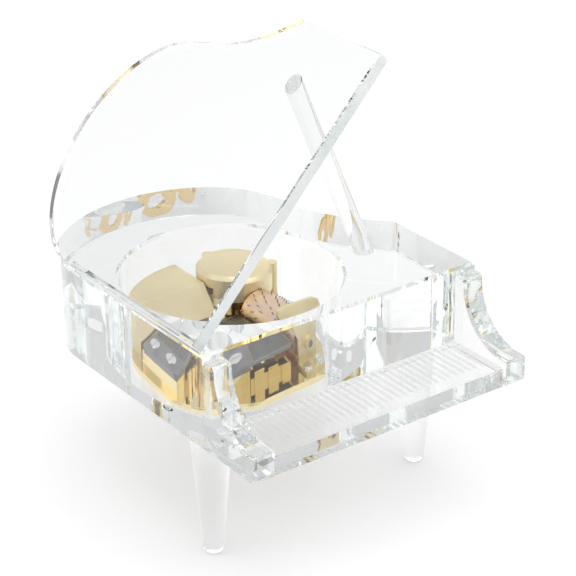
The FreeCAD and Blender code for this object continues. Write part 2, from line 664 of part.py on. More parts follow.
# Spring barrel, winding arbor and key ------------------------------------------------------------
def make_barrel():
    """Drum that holds the mainspring, with crown teeth under it and a toothed flange round it."""
    body = new_body("barrel")
    drum = new_sketch(body, "barrel_plan")
    draw_circle(drum, "Dims.barrel_radius")
    pad(body, drum, "barrel_drum", "Dims.barrel_high")
    teeth, module = int(dim("barrel_teeth")), dim("wheel_module")
    pitch = teeth * module / 2
    rim = new_sketch(body, "flange_plan")
    draw_circle(rim, "Dims.barrel_teeth * Dims.wheel_module / 2 - 1.1 * Dims.wheel_module")
    pad(body, rim, "flange", "Dims.wheel_thick")
    tooth = new_sketch(body, "flange_tooth")
    step = math.pi / teeth
    draw_tooth(tooth, pitch - 1.1 * module, pitch + 0.85 * module, step * 0.56, step * 0.20)
    first = pad(body, tooth, "flange_first", "Dims.wheel_thick")
    polar(body, first, "flange_teeth", "Dims.barrel_teeth")
    crown_pitch = dim("crown_teeth") * dim("crown_module") / 2
    half = math.pi / dim("crown_teeth") * crown_pitch * 0.42
    down = new_sketch(body, "crown_tooth")
    draw_loop(down, [(crown_pitch - 0.7, -half), (crown_pitch + 0.6, -half),
                     (crown_pitch + 0.6, half), (crown_pitch - 0.7, half)])
    peg = pad(body, down, "crown_first", "0.85", reverse=True)
    polar(body, peg, "crown_ring", "Dims.crown_teeth")
    well = new_sketch(body, "spring_well", lift="Dims.barrel_wall")
    draw_circle(well, "Dims.barrel_radius - Dims.barrel_wall")
    pocket(body, well, "spring_room", "Dims.barrel_high", reverse=True)
    bore = new_sketch(body, "barrel_bore")
    draw_circle(bore, "Dims.winding_radius + Dims.running_gap")
    pocket(body, bore, "barrel_bored")
    at = works(dim("cylinder_x"), dim("barrel_y"), dim("barrel_low"))
    node(body, "spring_barrel", at, Rotation(Vector(0, 0, 1), BARREL_PHASE))


BARREL_PHASE = -90.0 + 360.0 / 64


def make_mainspring():
    """Coiled steel strip: half circles that grow by the same step, closed into one strip."""
    strip, halves = 0.34, 11
    small = dim("winding_radius") + 0.75
    large = dim("barrel_radius") - dim("barrel_wall") - 0.6 - strip
    step = (large - small) / (halves - 1)
    path = []
    for half in range(halves):
        sign = 1 if half % 2 == 0 else -1
        path.append((0.0 if half % 2 == 0 else step, small + half * step, sign))
    edges = []
    for shift in (0.0, strip):
        run = []
        for centre, radius, sign in path:
            radius = radius + shift
            run.append(Part.Arc(Vector(centre + sign * radius, 0, 0),
                                Vector(centre, sign * radius, 0),
                                Vector(centre - sign * radius, 0, 0)).toShape())
        edges.append(run)
    starts = [run[0].valueAt(run[0].FirstParameter) for run in edges]
    ends = [run[-1].valueAt(run[-1].LastParameter) for run in edges]
    closed = edges[0] + edges[1] + [Part.makeLine(*starts), Part.makeLine(*ends)]
    face = Part.Face(Part.Wire(Part.__sortEdges__(closed)))
    feature = doc.addObject("Part::Feature", "spring_strip")
    feature.Shape = face.extrude(Vector(0, 0, dim("barrel_high") - 2.2))
    at = works(dim("cylinder_x"), dim("barrel_y"), dim("barrel_low") + dim("barrel_wall") + 0.3)
    node(feature, "mainspring", at)


def make_winding():
    x, y = dim("cylinder_x"), dim("barrel_y")
    below = dim("body_floor") + 4.0
    top = dim("barrel_low") + dim("barrel_high") - 0.8
    rod = cylinder("winding_rod", "Dims.winding_radius", "%.3f" % (top + below))
    node(rod, "winding_arbor", works(x, y, -below))
    body = new_body("ratchet")
    plan = new_sketch(body, "ratchet_plan")
    teeth, tip = int(dim("ratchet_teeth")), dim("ratchet_radius")
    points = []
    step = 2 * math.pi / teeth
    for index in range(teeth):
        turn = step * index
        points.append((tip * math.cos(turn), tip * math.sin(turn)))
        points.append(((tip - 0.9) * math.cos(turn + step - 0.06), (tip - 0.9) * math.sin(turn + step - 0.06)))
    draw_loop(plan, points)
    draw_circle(plan, "Dims.winding_radius")
    pad(body, plan, "ratchet_disc", "Dims.ratchet_thick")
    node(body, "ratchet_wheel", works(x, y, RATCHET_LOW))
    make_click(x, y)
    make_key(x, y)


RATCHET_LOW = 3.2


def make_click(x, y):
    """Spring pawl that lets the winding arbor turn one way only."""
    px, py = CLICK_SPOT[0]
    body = new_body("click")
    plan = new_sketch(body, "click_plan")
    nose = Vector(x - px, y - py, 0)
    reach = nose.Length - dim("ratchet_radius") - 0.1
    draw_loop(plan, [(-1.9, -1.5), (1.2, -1.9), (reach, -0.25), (reach - 0.4, 0.35), (1.0, 1.9), (-1.9, 1.5)])
    draw_circle(plan, "Dims.screw_radius + Dims.running_gap")
    pad(body, plan, "click_arm", "Dims.ratchet_thick")
    lean = math.degrees(math.atan2(nose.y, nose.x))
    node(body, "click", works(px, py, RATCHET_LOW), Rotation(Vector(0, 0, 1), lean))
    rise = RATCHET_LOW + dim("ratchet_thick") + 0.1
    collar = cylinder("click_collar", "Dims.screw_radius * 1.6", "%.3f" % (RATCHET_LOW - dim("bed_thick") - 0.1),
                      (px, py, dim("bed_thick")))
    stud = cylinder("click_stem", "Dims.screw_radius", "%.3f" % (rise - 0.4), (px, py, 0.4))
    cap = cylinder("click_cap", "Dims.screw_head * 0.9", "0.9", (px, py, rise))
    node(fuse("click_pivot", collar, stud, cap), "click_screw", works(0, 0, 0))


def make_key(x, y):
    """Butterfly key: a round hub with two rounded, pierced wings of flat sheet."""
    hub_high, wide, drop = 9.0, dim("key_width"), dim("key_drop")
    body = new_body("key")
    plan = new_sketch(body, "hub_plan")
    draw_circle(plan, "3.6")
    pad(body, plan, "hub", "%.2f" % hub_high, reverse=True)
    wing = new_sketch(body, "wing_side", "XZ_Plane")
    for sign in (1, -1):
        centre = Vector(sign * (wide / 4 + 0.6), -hub_high - drop / 2 + 5.0, 0)
        wing.addGeometry(Part.Ellipse(centre + Vector(wide / 4 - 0.6, 0, 0),
                                      centre + Vector(0, drop / 2 - 0.8, 0), centre), False)
        wing.addGeometry(Part.Circle(centre + Vector(sign * 0.8, 0, 0), Vector(0, 0, 1), 2.8), False)
    sheet_pad = pad(body, wing, "wings", "Dims.key_sheet")
    sheet_pad.Midplane = True
    bore = new_sketch(body, "key_bore")
    draw_circle(bore, "Dims.winding_radius")
    pocket(body, bore, "bored_hub", "3.4")
    at = works(x, y, -dim("body_floor") - 0.6)
    node(body, "winding_key", at, Rotation(Vector(0, 0, 1), 36))


def make_housing():
    """Cast cap over the spring barrel, carried by two pillars on the bedplate."""
    x, y = dim("cylinder_x"), dim("barrel_y")
    low, top, bed = dim("barrel_low") - 0.3, dim("housing_top"), dim("bed_thick")
    outer = cylinder("cap_outer", "Dims.housing_radius", "%.3f" % (top - low), (x, y, low))
    crown = doc.addObject("Part::Cone", "cap_crown")
    crown.setExpression("Radius1", "Dims.housing_radius")
    crown.setExpression("Radius2", "Dims.housing_radius * 0.90")
    crown.Height = 1.2
    crown.Placement = Placement(Vector(x, y, top), Rotation())
    inner = cylinder("cap_inner", "Dims.housing_radius - Dims.housing_wall", "%.3f" % (top - low - 0.9),
                     (x, y, low))
    pillars = []
    reach = dim("housing_radius") + 0.6
    for i, turn in enumerate(PILLAR_TURNS):
        foot = (x + reach * math.cos(math.radians(turn)), y + reach * math.sin(math.radians(turn)), bed)
        pillars.append(cylinder("pillar%d" % i, "1.9", "%.3f" % (top - bed), foot))
    shell = cut("cap_shell", fuse("cap_blank", outer, crown, *pillars), inner)
    mouth = box("governor_mouth", ("8", "9", "3.2"), (x - 14.5, y - 4.5, low))
    node(cut("housing", shell, mouth), "spring_housing", works(0, 0, 0))


# Governor --------------------------------------------------------------------------------------
def governor_place():
    """Plan position of the governor's upright arbor, in mesh with the barrel's flange."""
    reach = (dim("barrel_teeth") + dim("governor_teeth")) * dim("wheel_module") / 2
    return dim("cylinder_x") - reach, dim("barrel_y")


def make_governor():
    x, y = governor_place()
    bed = dim("bed_thick")
    low = bed + 0.15
    top = dim("barrel_low") + 2.4
    rod = cylinder("governor_rod", "0.7", "%.3f" % (top - low))
    node(rod, "governor_arbor", works(x, y, low))
    pinion = make_wheel("speed_pinion", "governor_teeth", "wheel_module",
                           "Dims.wheel_thick + 0.4", "0.7")
    node(pinion, "governor_pinion", works(x, y, dim("barrel_low") - 0.2), Rotation(Vector(0, 0, 1), 18.0))
    wheel = make_wheel("worm_wheel", "worm_wheel_teeth", "crown_module", "0.8", "0.7")
    node(wheel, "governor_wheel", works(x, y, WORM_Z - 0.4), Rotation(Vector(0, 0, 1), WHEEL_PHASE))
    make_worm(x, y)


WORM_Z = 6.6
WHEEL_PHASE = 0.0


def make_worm(x, y):
    """Two-start worm with the air brake's blades on its far end."""
    core, crest = dim("worm_radius"), dim("worm_radius") + dim("worm_thread")
    lead = 2 * math.pi * dim("crown_module")
    reach = dim("worm_wheel_teeth") * dim("crown_module") / 2
    axis_x = x - reach - core - dim("worm_thread") * 0.55
    start, end = y - 6.6, y + 11.0
    spindle = Part.makeCylinder(0.6, end - start, Vector(0, 0, 0), Vector(0, 0, 1))
    body = Part.makeCylinder(core, 8.0, Vector(0, 0, 2.6), Vector(0, 0, 1))
    solid = spindle.fuse(body)
    for entry in (0.0, 180.0):
        helix = Part.makeHelix(lead, 2.5 * lead, core - 0.05)
        helix.rotate(Vector(0, 0, 0), Vector(0, 0, 1), entry)
        half, tip = 0.30, 0.14
        turn = Rotation(Vector(0, 0, 1), entry)
        corners = [turn.multVec(Vector(radius, 0, height)) for radius, height in
                   ((core - 0.05, -half), (crest, -tip), (crest, tip), (core - 0.05, half))]
        profile = Part.makePolygon(corners + corners[:1])
        thread = Part.Wire(helix).makePipeShell([profile], True, True)
        thread.translate(Vector(0, 0, 6.6 - 1.25 * lead))
        solid = solid.fuse(thread)
    solid = solid.removeSplitter()
    worm = doc.addObject("Part::Feature", "worm_solid")
    worm.Shape = solid
    node(worm, "fly_worm", works(axis_x, start, WORM_Z), ALONG)
    blades = []
    for index in range(2):
        blade = doc.addObject("Part::Box", "blade%d" % index)
        blade.setExpression("Length", "Dims.fly_radius - 0.9")
        blade.Width = 0.5
        blade.setExpression("Height", "Dims.fly_length")
        turn = Rotation(Vector(0, 0, 1), 180 * index + 30)
        blade.Placement = Placement(turn.multVec(Vector(0.8, -0.25, 12.3)), turn)
        blades.append(blade)
    hub = cylinder("fly_hub", "1.3", "Dims.fly_length", (0, 0, 12.3))
    bore = cylinder("fly_bore", "0.6", "Dims.fly_length", (0, 0, 12.3))
    node(cut("fly_brake", fuse("fly_blank", hub, *blades), bore), "fly_blades",
         works(axis_x, start, WORM_Z), ALONG)
    make_governor_bracket(axis_x, start, end)


def make_governor_bracket(axis_x, start, end):
    """Channel that holds the worm's two pivots and is screwed to the bedplate."""
    bed = dim("bed_thick")
    wall = 1.0
    low = box("channel_floor", ("4.4", "%.3f" % (end - start), "1"), (axis_x - 7.2, start, bed))
    ears = []
    for i, at in enumerate((start + 0.4, end - 0.4 - wall)):
        ears.append(box("ear%d" % i, ("8.4", "%.2f" % wall, "%.3f" % (WORM_Z - bed + 1.6)),
                        (axis_x - 7.2, at, bed)))
    bore = cylinder("pivot_bore", "0.6 + Dims.running_gap", "40", (axis_x, start - 4, WORM_Z), Vector(0, 1, 0))
    holes = [cylinder("channel_hole%d" % i, "Dims.screw_radius + 0.1", "4", (sx, sy, bed - 1))
             for i, (sx, sy) in enumerate(GOVERNOR_SCREWS)]
    node(cut("channel", fuse("channel_blank", low, *ears), bore, *holes), "governor_bracket", works(0, 0, 0))


def make_cover():
    """Cast cover over the governor: an open-bottomed shell that follows the round bedplate."""
    top, bed, wall = dim("cover_top"), dim("bed_thick"), dim("cover_wall")
    left, right, front, slope_foot = -23.5, 0.6, 8.2, 8.6
    shells = []
    for name, inset in (("cover_outer", 0.0), ("cover_inner", wall)):
        disc = cylinder(name + "_disc", "Dims.bed_radius - 0.4 - %.2f" % inset,
                        "%.3f" % (top - bed - inset), (0, 0, bed))
        block = box(name + "_block", ("%.3f" % (right - left - inset), "40", "40"),
                    (left + inset, front + inset, bed - 5))
        both = doc.addObject("Part::Common", name + "_square")
        both.Base = disc
        both.Tool = block
        slope = box(name + "_slope", ("80", "30", "30"))
        slope.Placement = Placement(Vector(-40, front + inset * 1.2, slope_foot), Rotation(Vector(1, 0, 0), 52))
        shells.append(cut(name, both, slope))
    x, y = dim("cylinder_x"), dim("barrel_y")
    bite = cylinder("housing_bite", "Dims.housing_radius + 0.3", "30", (x, y, bed - 1))
    node(cut("cover_shell", shells[0], shells[1], bite), "governor_cover", works(0, 0, 0))


def build():
    make_body_block()
    make_shelf()
    make_cheek("left_cheek", 0)
    make_cheek("right_cheek", dim("body_width") - dim("cheek_thick"))
    make_lid()
    make_lid_bond()
    make_prop()
    make_leg("front_left_leg", 6.7, 6.7)
    make_leg("front_right_leg", 87.0, 11.5)
    make_leg("tail_leg", 46.0, 86.0)
    make_bedplate()
    make_comb()
    make_screws()
    make_drum()
    make_pins()
    make_cylinder_train()
    make_brackets()
    make_barrel()
    make_mainspring()
    make_winding()
    make_housing()
    make_governor()
    make_cover()


def check_and_write():
    """Stop on any failed object, then write each sub-part to its own file."""
    doc.recompute()
    bad = [item.Label for item in doc.Objects if {"Invalid", "Error"} & set(item.State)]
    for item in NODES:
        shape = item.Shape
        if shape.isNull() or not shape.isValid() or shape.Volume <= 0:
            bad.append(item.Label + " (shape)")
    if bad:
        raise RuntimeError("failed objects: " + ", ".join(bad))
    os.makedirs("parts", exist_ok=True)
    for item in NODES:
        item.Shape.exportStep(os.path.join("parts", item.Label + ".step"))
        print("%-24s %3d solids %12.2f mm3" % (item.Label, len(item.Shape.Solids), item.Shape.Volume))


build()
check_and_write()
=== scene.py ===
"""Looks of a clear glass grand piano holding a key-wound comb-and-cylinder movement.

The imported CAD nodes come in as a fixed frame, in metres, +Z up, keyboard towards -Y, lid open towards +X.
This script dresses every node, lets bonded or rounded copies stand for some of them, and sets the studio.
"""

import json
import logging
import math
from dataclasses import dataclass, field
from enum import Enum

import bpy
from mathutils import Matrix, Vector

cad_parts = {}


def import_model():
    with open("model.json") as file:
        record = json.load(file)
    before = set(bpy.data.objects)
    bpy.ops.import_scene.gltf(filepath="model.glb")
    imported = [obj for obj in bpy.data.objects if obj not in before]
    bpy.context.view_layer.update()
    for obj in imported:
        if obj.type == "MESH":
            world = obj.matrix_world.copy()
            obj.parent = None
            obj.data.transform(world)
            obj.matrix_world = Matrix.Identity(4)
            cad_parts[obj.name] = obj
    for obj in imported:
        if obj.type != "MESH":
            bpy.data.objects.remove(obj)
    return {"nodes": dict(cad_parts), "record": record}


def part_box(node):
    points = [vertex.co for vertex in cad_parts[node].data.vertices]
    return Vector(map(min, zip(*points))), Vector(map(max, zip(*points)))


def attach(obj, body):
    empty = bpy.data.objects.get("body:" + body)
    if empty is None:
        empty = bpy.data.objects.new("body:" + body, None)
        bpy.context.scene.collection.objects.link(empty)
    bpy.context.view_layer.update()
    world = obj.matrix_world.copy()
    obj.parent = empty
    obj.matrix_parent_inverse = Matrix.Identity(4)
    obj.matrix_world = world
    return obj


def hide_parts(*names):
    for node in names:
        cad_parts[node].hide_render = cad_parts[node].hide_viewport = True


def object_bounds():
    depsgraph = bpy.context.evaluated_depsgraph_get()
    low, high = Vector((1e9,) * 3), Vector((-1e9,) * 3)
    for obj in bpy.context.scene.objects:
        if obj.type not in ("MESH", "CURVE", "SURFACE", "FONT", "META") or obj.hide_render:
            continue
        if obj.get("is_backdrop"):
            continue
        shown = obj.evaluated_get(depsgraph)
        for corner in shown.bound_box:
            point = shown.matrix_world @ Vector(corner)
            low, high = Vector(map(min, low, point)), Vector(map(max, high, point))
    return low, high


LOG = logging.getLogger("piano")
MM = 0.001
WELD = 0.0005 * MM
GROOVE_SKIM = 0.07 * MM


def deselect_all() -> None:
    """Leave object mode with nothing selected."""
    if bpy.context.object and bpy.context.object.mode != "OBJECT":
        bpy.ops.object.mode_set(mode="OBJECT")
    bpy.ops.object.select_all(action="DESELECT")


def copy_node(node: bpy.types.Object, name: str) -> bpy.types.Object:
    """Copy a frame node's mesh into a piece of its own and merge its loose triangles.

    Args:
        node: The frame's node, which is left as it is.
        name: Name of the new piece.

    Returns:
        The new piece, selected and active.
    """
    deselect_all()
    piece = bpy.data.objects.new(name, node.data.copy())
    bpy.context.collection.objects.link(piece)
    piece.select_set(True)
    bpy.context.view_layer.objects.active = piece
    bpy.ops.mesh.customdata_custom_splitnormals_clear()
    bpy.ops.object.mode_set(mode="EDIT")
    bpy.ops.mesh.select_all(action="SELECT")
    bpy.ops.mesh.remove_doubles(threshold=WELD)
    bpy.ops.object.mode_set(mode="OBJECT")
    return piece


def weigh_normals(piece: bpy.types.Object, angle: float) -> None:
    """Shade round stretches smoothly below an angle in radians, and keep flat faces flat."""
    deselect_all()
    piece.select_set(True)
    bpy.context.view_layer.objects.active = piece
    bpy.ops.object.shade_smooth_by_angle(angle=angle)
    weigh = piece.modifiers.new("flat_faces", "WEIGHTED_NORMAL")
    weigh.keep_sharp, weigh.weight = True, 100
    bpy.ops.object.modifier_apply(modifier=weigh.name)


def settle(piece: bpy.types.Object, node: str, body: str) -> None:
    """Let a piece stand for a frame node and ride on its body."""
    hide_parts(node)
    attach(piece, body)
    LOG.info("%s stands for %s on %s, %d faces", piece.name, node, body, len(piece.data.polygons))


# ---------------------------------------------------------------- shared shader groups
@dataclass
class ShaderGroups:
    """Node groups that several finishes share: tone variation, fine lines and polish ripple."""

    groups: dict = field(default_factory=dict)

    def start(self, name: str, inputs: list, outputs: list) -> tuple:
        """Make an empty shader node group with named sockets.

        Args:
            name: Name of the group.
            inputs: Pairs of socket name and socket type.
            outputs: Pairs of socket name and socket type.

        Returns:
            The group's tree, its input node and its output node.
        """
        tree = bpy.data.node_groups.new(name, "ShaderNodeTree")
        for label, kind in inputs:
            tree.interface.new_socket(name=label, in_out="INPUT", socket_type=kind)
        for label, kind in outputs:
            tree.interface.new_socket(name=label, in_out="OUTPUT", socket_type=kind)
        self.groups[name] = tree
        return tree, tree.nodes.new("NodeGroupInput"), tree.nodes.new("NodeGroupOutput")

    def make_tone(self) -> None:
        """Slow blotches of tone and sheen, as handling and plating leave on metal."""
        inputs = [("Colour", "NodeSocketColor"), ("Dark", "NodeSocketColor"), ("Scale", "NodeSocketFloat"),
                  ("Amount", "NodeSocketFloat"), ("Low", "NodeSocketFloat"), ("High", "NodeSocketFloat")]
        outputs = [("Colour", "NodeSocketColor"), ("Roughness", "NodeSocketFloat")]
        tree, source, sink = self.start("metal_tone", inputs, outputs)
        links, nodes = tree.links, tree.nodes
        place = nodes.new("ShaderNodeTexCoord")
        blotch = nodes.new("ShaderNodeTexNoise")
        blotch.inputs["Detail"].default_value = 5.0
        links.new(place.outputs["Object"], blotch.inputs["Vector"])
        links.new(source.outputs["Scale"], blotch.inputs["Scale"])
        amount = nodes.new("ShaderNodeMath")
        amount.operation = "MULTIPLY"
        links.new(blotch.outputs["Fac"], amount.inputs[0])
        links.new(source.outputs["Amount"], amount.inputs[1])
        mix = nodes.new("ShaderNodeMix")
        mix.data_type = "RGBA"
        links.new(amount.outputs[0], mix.inputs["Factor"])
        links.new(source.outputs["Colour"], mix.inputs["A"])
        links.new(source.outputs["Dark"], mix.inputs["B"])
        links.new(mix.outputs["Result"], sink.inputs["Colour"])
        spread = nodes.new("ShaderNodeMapRange")
        spread.inputs["From Min"].default_value = 0.3
        spread.inputs["From Max"].default_value = 0.7
        links.new(blotch.outputs["Fac"], spread.inputs["Value"])
        links.new(source.outputs["Low"], spread.inputs["To Min"])
        links.new(source.outputs["High"], spread.inputs["To Max"])
        links.new(spread.outputs["Result"], sink.inputs["Roughness"])

    def make_lines(self) -> None:
        """Fine parallel tool lines: noise stretched along the direction that the tool ran."""
        inputs = [("Stretch", "NodeSocketVector"), ("Scale", "NodeSocketFloat"), ("Fine", "NodeSocketFloat")]
        tree, source, sink = self.start("tool_lines", inputs, [("Height", "NodeSocketFloat")])
        links, nodes = tree.links, tree.nodes
        place = nodes.new("ShaderNodeTexCoord")
        squeeze = nodes.new("ShaderNodeVectorMath")
        squeeze.operation = "MULTIPLY"
        links.new(place.outputs["Object"], squeeze.inputs[0])
        links.new(source.outputs["Stretch"], squeeze.inputs[1])
        coarse = nodes.new("ShaderNodeTexNoise")
        coarse.inputs["Detail"].default_value = 2.0
        links.new(squeeze.outputs[0], coarse.inputs["Vector"])
        links.new(source.outputs["Scale"], coarse.inputs["Scale"])
        fine = nodes.new("ShaderNodeTexNoise")
        fine.inputs["Detail"].default_value = 3.0
        links.new(squeeze.outputs[0], fine.inputs["Vector"])
        links.new(source.outputs["Fine"], fine.inputs["Scale"])
        total = nodes.new("ShaderNodeMath")
        total.operation = "ADD"
        links.new(coarse.outputs["Fac"], total.inputs[0])
        links.new(fine.outputs["Fac"], total.inputs[1])
        links.new(total.outputs[0], sink.inputs["Height"])

    def make_ripple(self) -> None:
        """Very slow waviness that hand polishing leaves on glass, with faint wipe marks as roughness."""
        inputs = [("Scale", "NodeSocketFloat"), ("Haze", "NodeSocketFloat")]
        outputs = [("Height", "NodeSocketFloat"), ("Roughness", "NodeSocketFloat")]
        tree, source, sink = self.start("polish_ripple", inputs, outputs)
        links, nodes = tree.links, tree.nodes
        place = nodes.new("ShaderNodeTexCoord")
        wave = nodes.new("ShaderNodeTexNoise")
        wave.inputs["Detail"].default_value = 1.0
        links.new(place.outputs["Object"], wave.inputs["Vector"])
        links.new(source.outputs["Scale"], wave.inputs["Scale"])
        links.new(wave.outputs["Fac"], sink.inputs["Height"])
        wipe = nodes.new("ShaderNodeTexNoise")
        wipe.inputs["Scale"].default_value = 55.0
        wipe.inputs["Detail"].default_value = 6.0
        wipe.inputs["Distortion"].default_value = 1.2
        links.new(place.outputs["Object"], wipe.inputs["Vector"])
        thin = nodes.new("ShaderNodeMapRange")
        thin.inputs["From Min"].default_value = 0.56
        thin.inputs["From Max"].default_value = 0.74
        links.new(wipe.outputs["Fac"], thin.inputs["Value"])
        links.new(source.outputs["Haze"], thin.inputs["To Max"])
        links.new(thin.outputs["Result"], sink.inputs["Roughness"])

    def build(self) -> dict:
        """Make all the shared groups and return them by name."""
        self.make_tone()
        self.make_lines()
        self.make_ripple()
        return self.groups


# ---------------------------------------------------------------- finishes
@dataclass(frozen=True)
class MetalFinish:
    """One metal finish, with its colour, sheen and tool marks."""

    slot: str
    colour: tuple
    dark: tuple
    low: float
    high: float
    stretch: tuple = (1.0, 1.0, 1.0)
    lines: float = 900.0
    depth: float = 0.01 * MM
    metallic: float = 1.0
    blotch: float = 160.0
    blotch_amount: float = 0.8
    fine_ratio: float = 3.1
    bump: float = 0.5

    def build(self, groups: dict, name: str) -> bpy.types.Material:
        """Make the material.

        Args:
            groups: Shared node groups by name.
            name: Name of the material.

        Returns:
            The finished material.
        """
        material = bpy.data.materials.new(name)
        material.use_nodes = True
        nodes, links = material.node_tree.nodes, material.node_tree.links
        shader = nodes["Principled BSDF"]
        shader.inputs["Metallic"].default_value = self.metallic
        tone = nodes.new("ShaderNodeGroup")
        tone.node_tree = groups["metal_tone"]
        tone.inputs["Colour"].default_value = (*self.colour, 1)
        tone.inputs["Dark"].default_value = (*self.dark, 1)
        tone.inputs["Scale"].default_value = self.blotch
        tone.inputs["Amount"].default_value = self.blotch_amount
        tone.inputs["Low"].default_value = self.low
        tone.inputs["High"].default_value = self.high
        links.new(tone.outputs["Colour"], shader.inputs["Base Color"])
        links.new(tone.outputs["Roughness"], shader.inputs["Roughness"])
        lines = nodes.new("ShaderNodeGroup")
        lines.node_tree = groups["tool_lines"]
        lines.inputs["Stretch"].default_value = self.stretch
        lines.inputs["Scale"].default_value = self.lines
        lines.inputs["Fine"].default_value = self.lines * self.fine_ratio
        bump = nodes.new("ShaderNodeBump")
        bump.inputs["Strength"].default_value = self.bump
        bump.inputs["Distance"].default_value = self.depth
        links.new(lines.outputs["Height"], bump.inputs["Height"])
        links.new(bump.outputs["Normal"], shader.inputs["Normal"])
        return material


@dataclass(frozen=True)
class CrystalFinish:
    """Clear polished glass with a breath of green in thick parts."""

    index: float = 1.516
    clear: tuple = (0.942, 0.945, 0.945)
    tint: tuple = (0.72, 0.93, 0.89)
    density: float = 1.2
    ripple_scale: float = 22.0
    ripple_depth: float = 0.012 * MM
    haze: float = 0.02
    ground: float = 0.32

    def build(self, groups: dict, name: str, frost: tuple = ()) -> bpy.types.Material:
        """Make the glass.

        Args:
            groups: Shared node groups by name.
            name: Name of the material.
            frost: Axis number, then the lowest and highest place on it of the part that is left matt.

        Returns:
            The finished material.
        """
        material = bpy.data.materials.new(name)
        material.use_nodes = True
        nodes, links = material.node_tree.nodes, material.node_tree.links
        shader = nodes["Principled BSDF"]
        shader.inputs["Base Color"].default_value = (*self.clear, 1)
        shader.inputs["IOR"].default_value = self.index
        shader.inputs["Transmission Weight"].default_value = 1.0
        shader.inputs["Roughness"].default_value = 0.0
        ripple = nodes.new("ShaderNodeGroup")
        ripple.node_tree = groups["polish_ripple"]
        ripple.inputs["Scale"].default_value = self.ripple_scale
        ripple.inputs["Haze"].default_value = self.haze
        bump = nodes.new("ShaderNodeBump")
        bump.inputs["Strength"].default_value = 1.0
        bump.inputs["Distance"].default_value = self.ripple_depth
        links.new(ripple.outputs["Height"], bump.inputs["Height"])
        links.new(bump.outputs["Normal"], shader.inputs["Normal"])
        rough = ripple.outputs["Roughness"]
        if frost:
            rough = self.frosted(nodes, links, rough, frost)
        links.new(rough, shader.inputs["Roughness"])
        body = nodes.new("ShaderNodeVolumeAbsorption")
        body.inputs["Color"].default_value = (*self.tint, 1)
        body.inputs["Density"].default_value = self.density
        links.new(body.outputs["Volume"], nodes["Material Output"].inputs["Volume"])
        return material

    def frosted(self, nodes: bpy.types.Nodes, links: bpy.types.NodeLinks, rough: bpy.types.NodeSocket,
                band: tuple) -> bpy.types.NodeSocket:
        """Add a matt band between two places on an axis, for engraved grooves and ground edges.

        Args:
            nodes: The material's nodes.
            links: The material's links.
            rough: Roughness of the polished parts.
            band: Axis number, lowest and highest place of the matt part, in metres.

        Returns:
            The socket with the roughness of the whole surface.
        """
        place = nodes.new("ShaderNodeTexCoord")
        axes = nodes.new("ShaderNodeSeparateXYZ")
        links.new(place.outputs["Object"], axes.inputs[0])
        mask = nodes.new("ShaderNodeMath")
        mask.operation = "COMPARE"
        mask.inputs[1].default_value = (band[1] + band[2]) / 2
        mask.inputs[2].default_value = (band[2] - band[1]) / 2
        links.new(axes.outputs[band[0]], mask.inputs[0])
        matt = nodes.new("ShaderNodeMath")
        matt.operation = "MULTIPLY_ADD"
        matt.inputs[1].default_value = self.ground
        links.new(mask.outputs[0], matt.inputs[0])
        links.new(rough, matt.inputs[2])
        return matt.outputs[0]


METALS = (
    MetalFinish("gold_plate", (0.97, 0.83, 0.48), (0.90, 0.72, 0.34), 0.05, 0.14,
                lines=400.0, depth=0.006 * MM),
    MetalFinish("satin_gold", (1.0, 0.89, 0.60), (0.98, 0.84, 0.52), 0.38, 0.52,
                lines=1800.0),
    MetalFinish("comb_steel", (0.36, 0.36, 0.37), (0.27, 0.27, 0.28), 0.30, 0.44,
                stretch=(0.06, 1, 1), lines=1500.0),
    MetalFinish("bright_screw", (0.96, 0.96, 0.95), (0.82, 0.82, 0.82), 0.10, 0.22,
                depth=0.005 * MM),
    MetalFinish("drum_copper", (0.95, 0.76, 0.60), (0.90, 0.66, 0.48), 0.26, 0.40,
                stretch=(0.05, 1, 0.05), lines=2200.0, depth=0.012 * MM),
    MetalFinish("pin_steel", (0.46, 0.45, 0.44), (0.30, 0.29, 0.28), 0.22, 0.34,
                depth=0.005 * MM),
    MetalFinish("wheel_brass", (0.82, 0.63, 0.30), (0.66, 0.46, 0.18), 0.20, 0.32,
                lines=1200.0, depth=0.008 * MM),
    MetalFinish("fly_black", (0.045, 0.045, 0.048), (0.02, 0.02, 0.02), 0.42, 0.56,
                lines=1400.0, metallic=0.0),
    MetalFinish("key_gold", (0.92, 0.69, 0.30), (0.80, 0.54, 0.18), 0.16, 0.28,
                lines=500.0, depth=0.006 * MM),
)


@dataclass
class Paintshop:
    """All the materials, made once and handed out by slot name."""

    groups: dict
    materials: dict = field(default_factory=dict)
    groove_band: tuple = (1.5, 0.3)
    edge_band: tuple = (0.1 * MM, 0.02 * MM)

    def build(self, shelf_top: float, keyboard_edge: float) -> None:
        """Make every finish.

        Args:
            shelf_top: Height of the keyboard shelf's top face.
            keyboard_edge: Place along Y of the lid's edge over the keyboard.
        """
        for finish in METALS:
            self.materials[finish.slot] = finish.build(self.groups, "finish_" + finish.slot)
        crystal = CrystalFinish()
        self.materials["crystal"] = crystal.build(self.groups, "finish_crystal")
        grooves = (2, *(shelf_top - GROOVE_SKIM * share for share in self.groove_band))
        self.materials["crystal_grooved"] = crystal.build(self.groups, "finish_crystal_grooved", grooves)
        edge = (1, keyboard_edge - self.edge_band[0], keyboard_edge + self.edge_band[1])
        self.materials["crystal_edged"] = crystal.build(self.groups, "finish_crystal_edged", edge)

    def dress(self, piece: bpy.types.Object, finish: str) -> None:
        """Give a piece one finish all over."""
        if not piece.data.materials:
            piece.data.materials.append(self.materials[finish])
        for place in range(len(piece.data.materials)):
            piece.data.materials[place] = self.materials[finish]


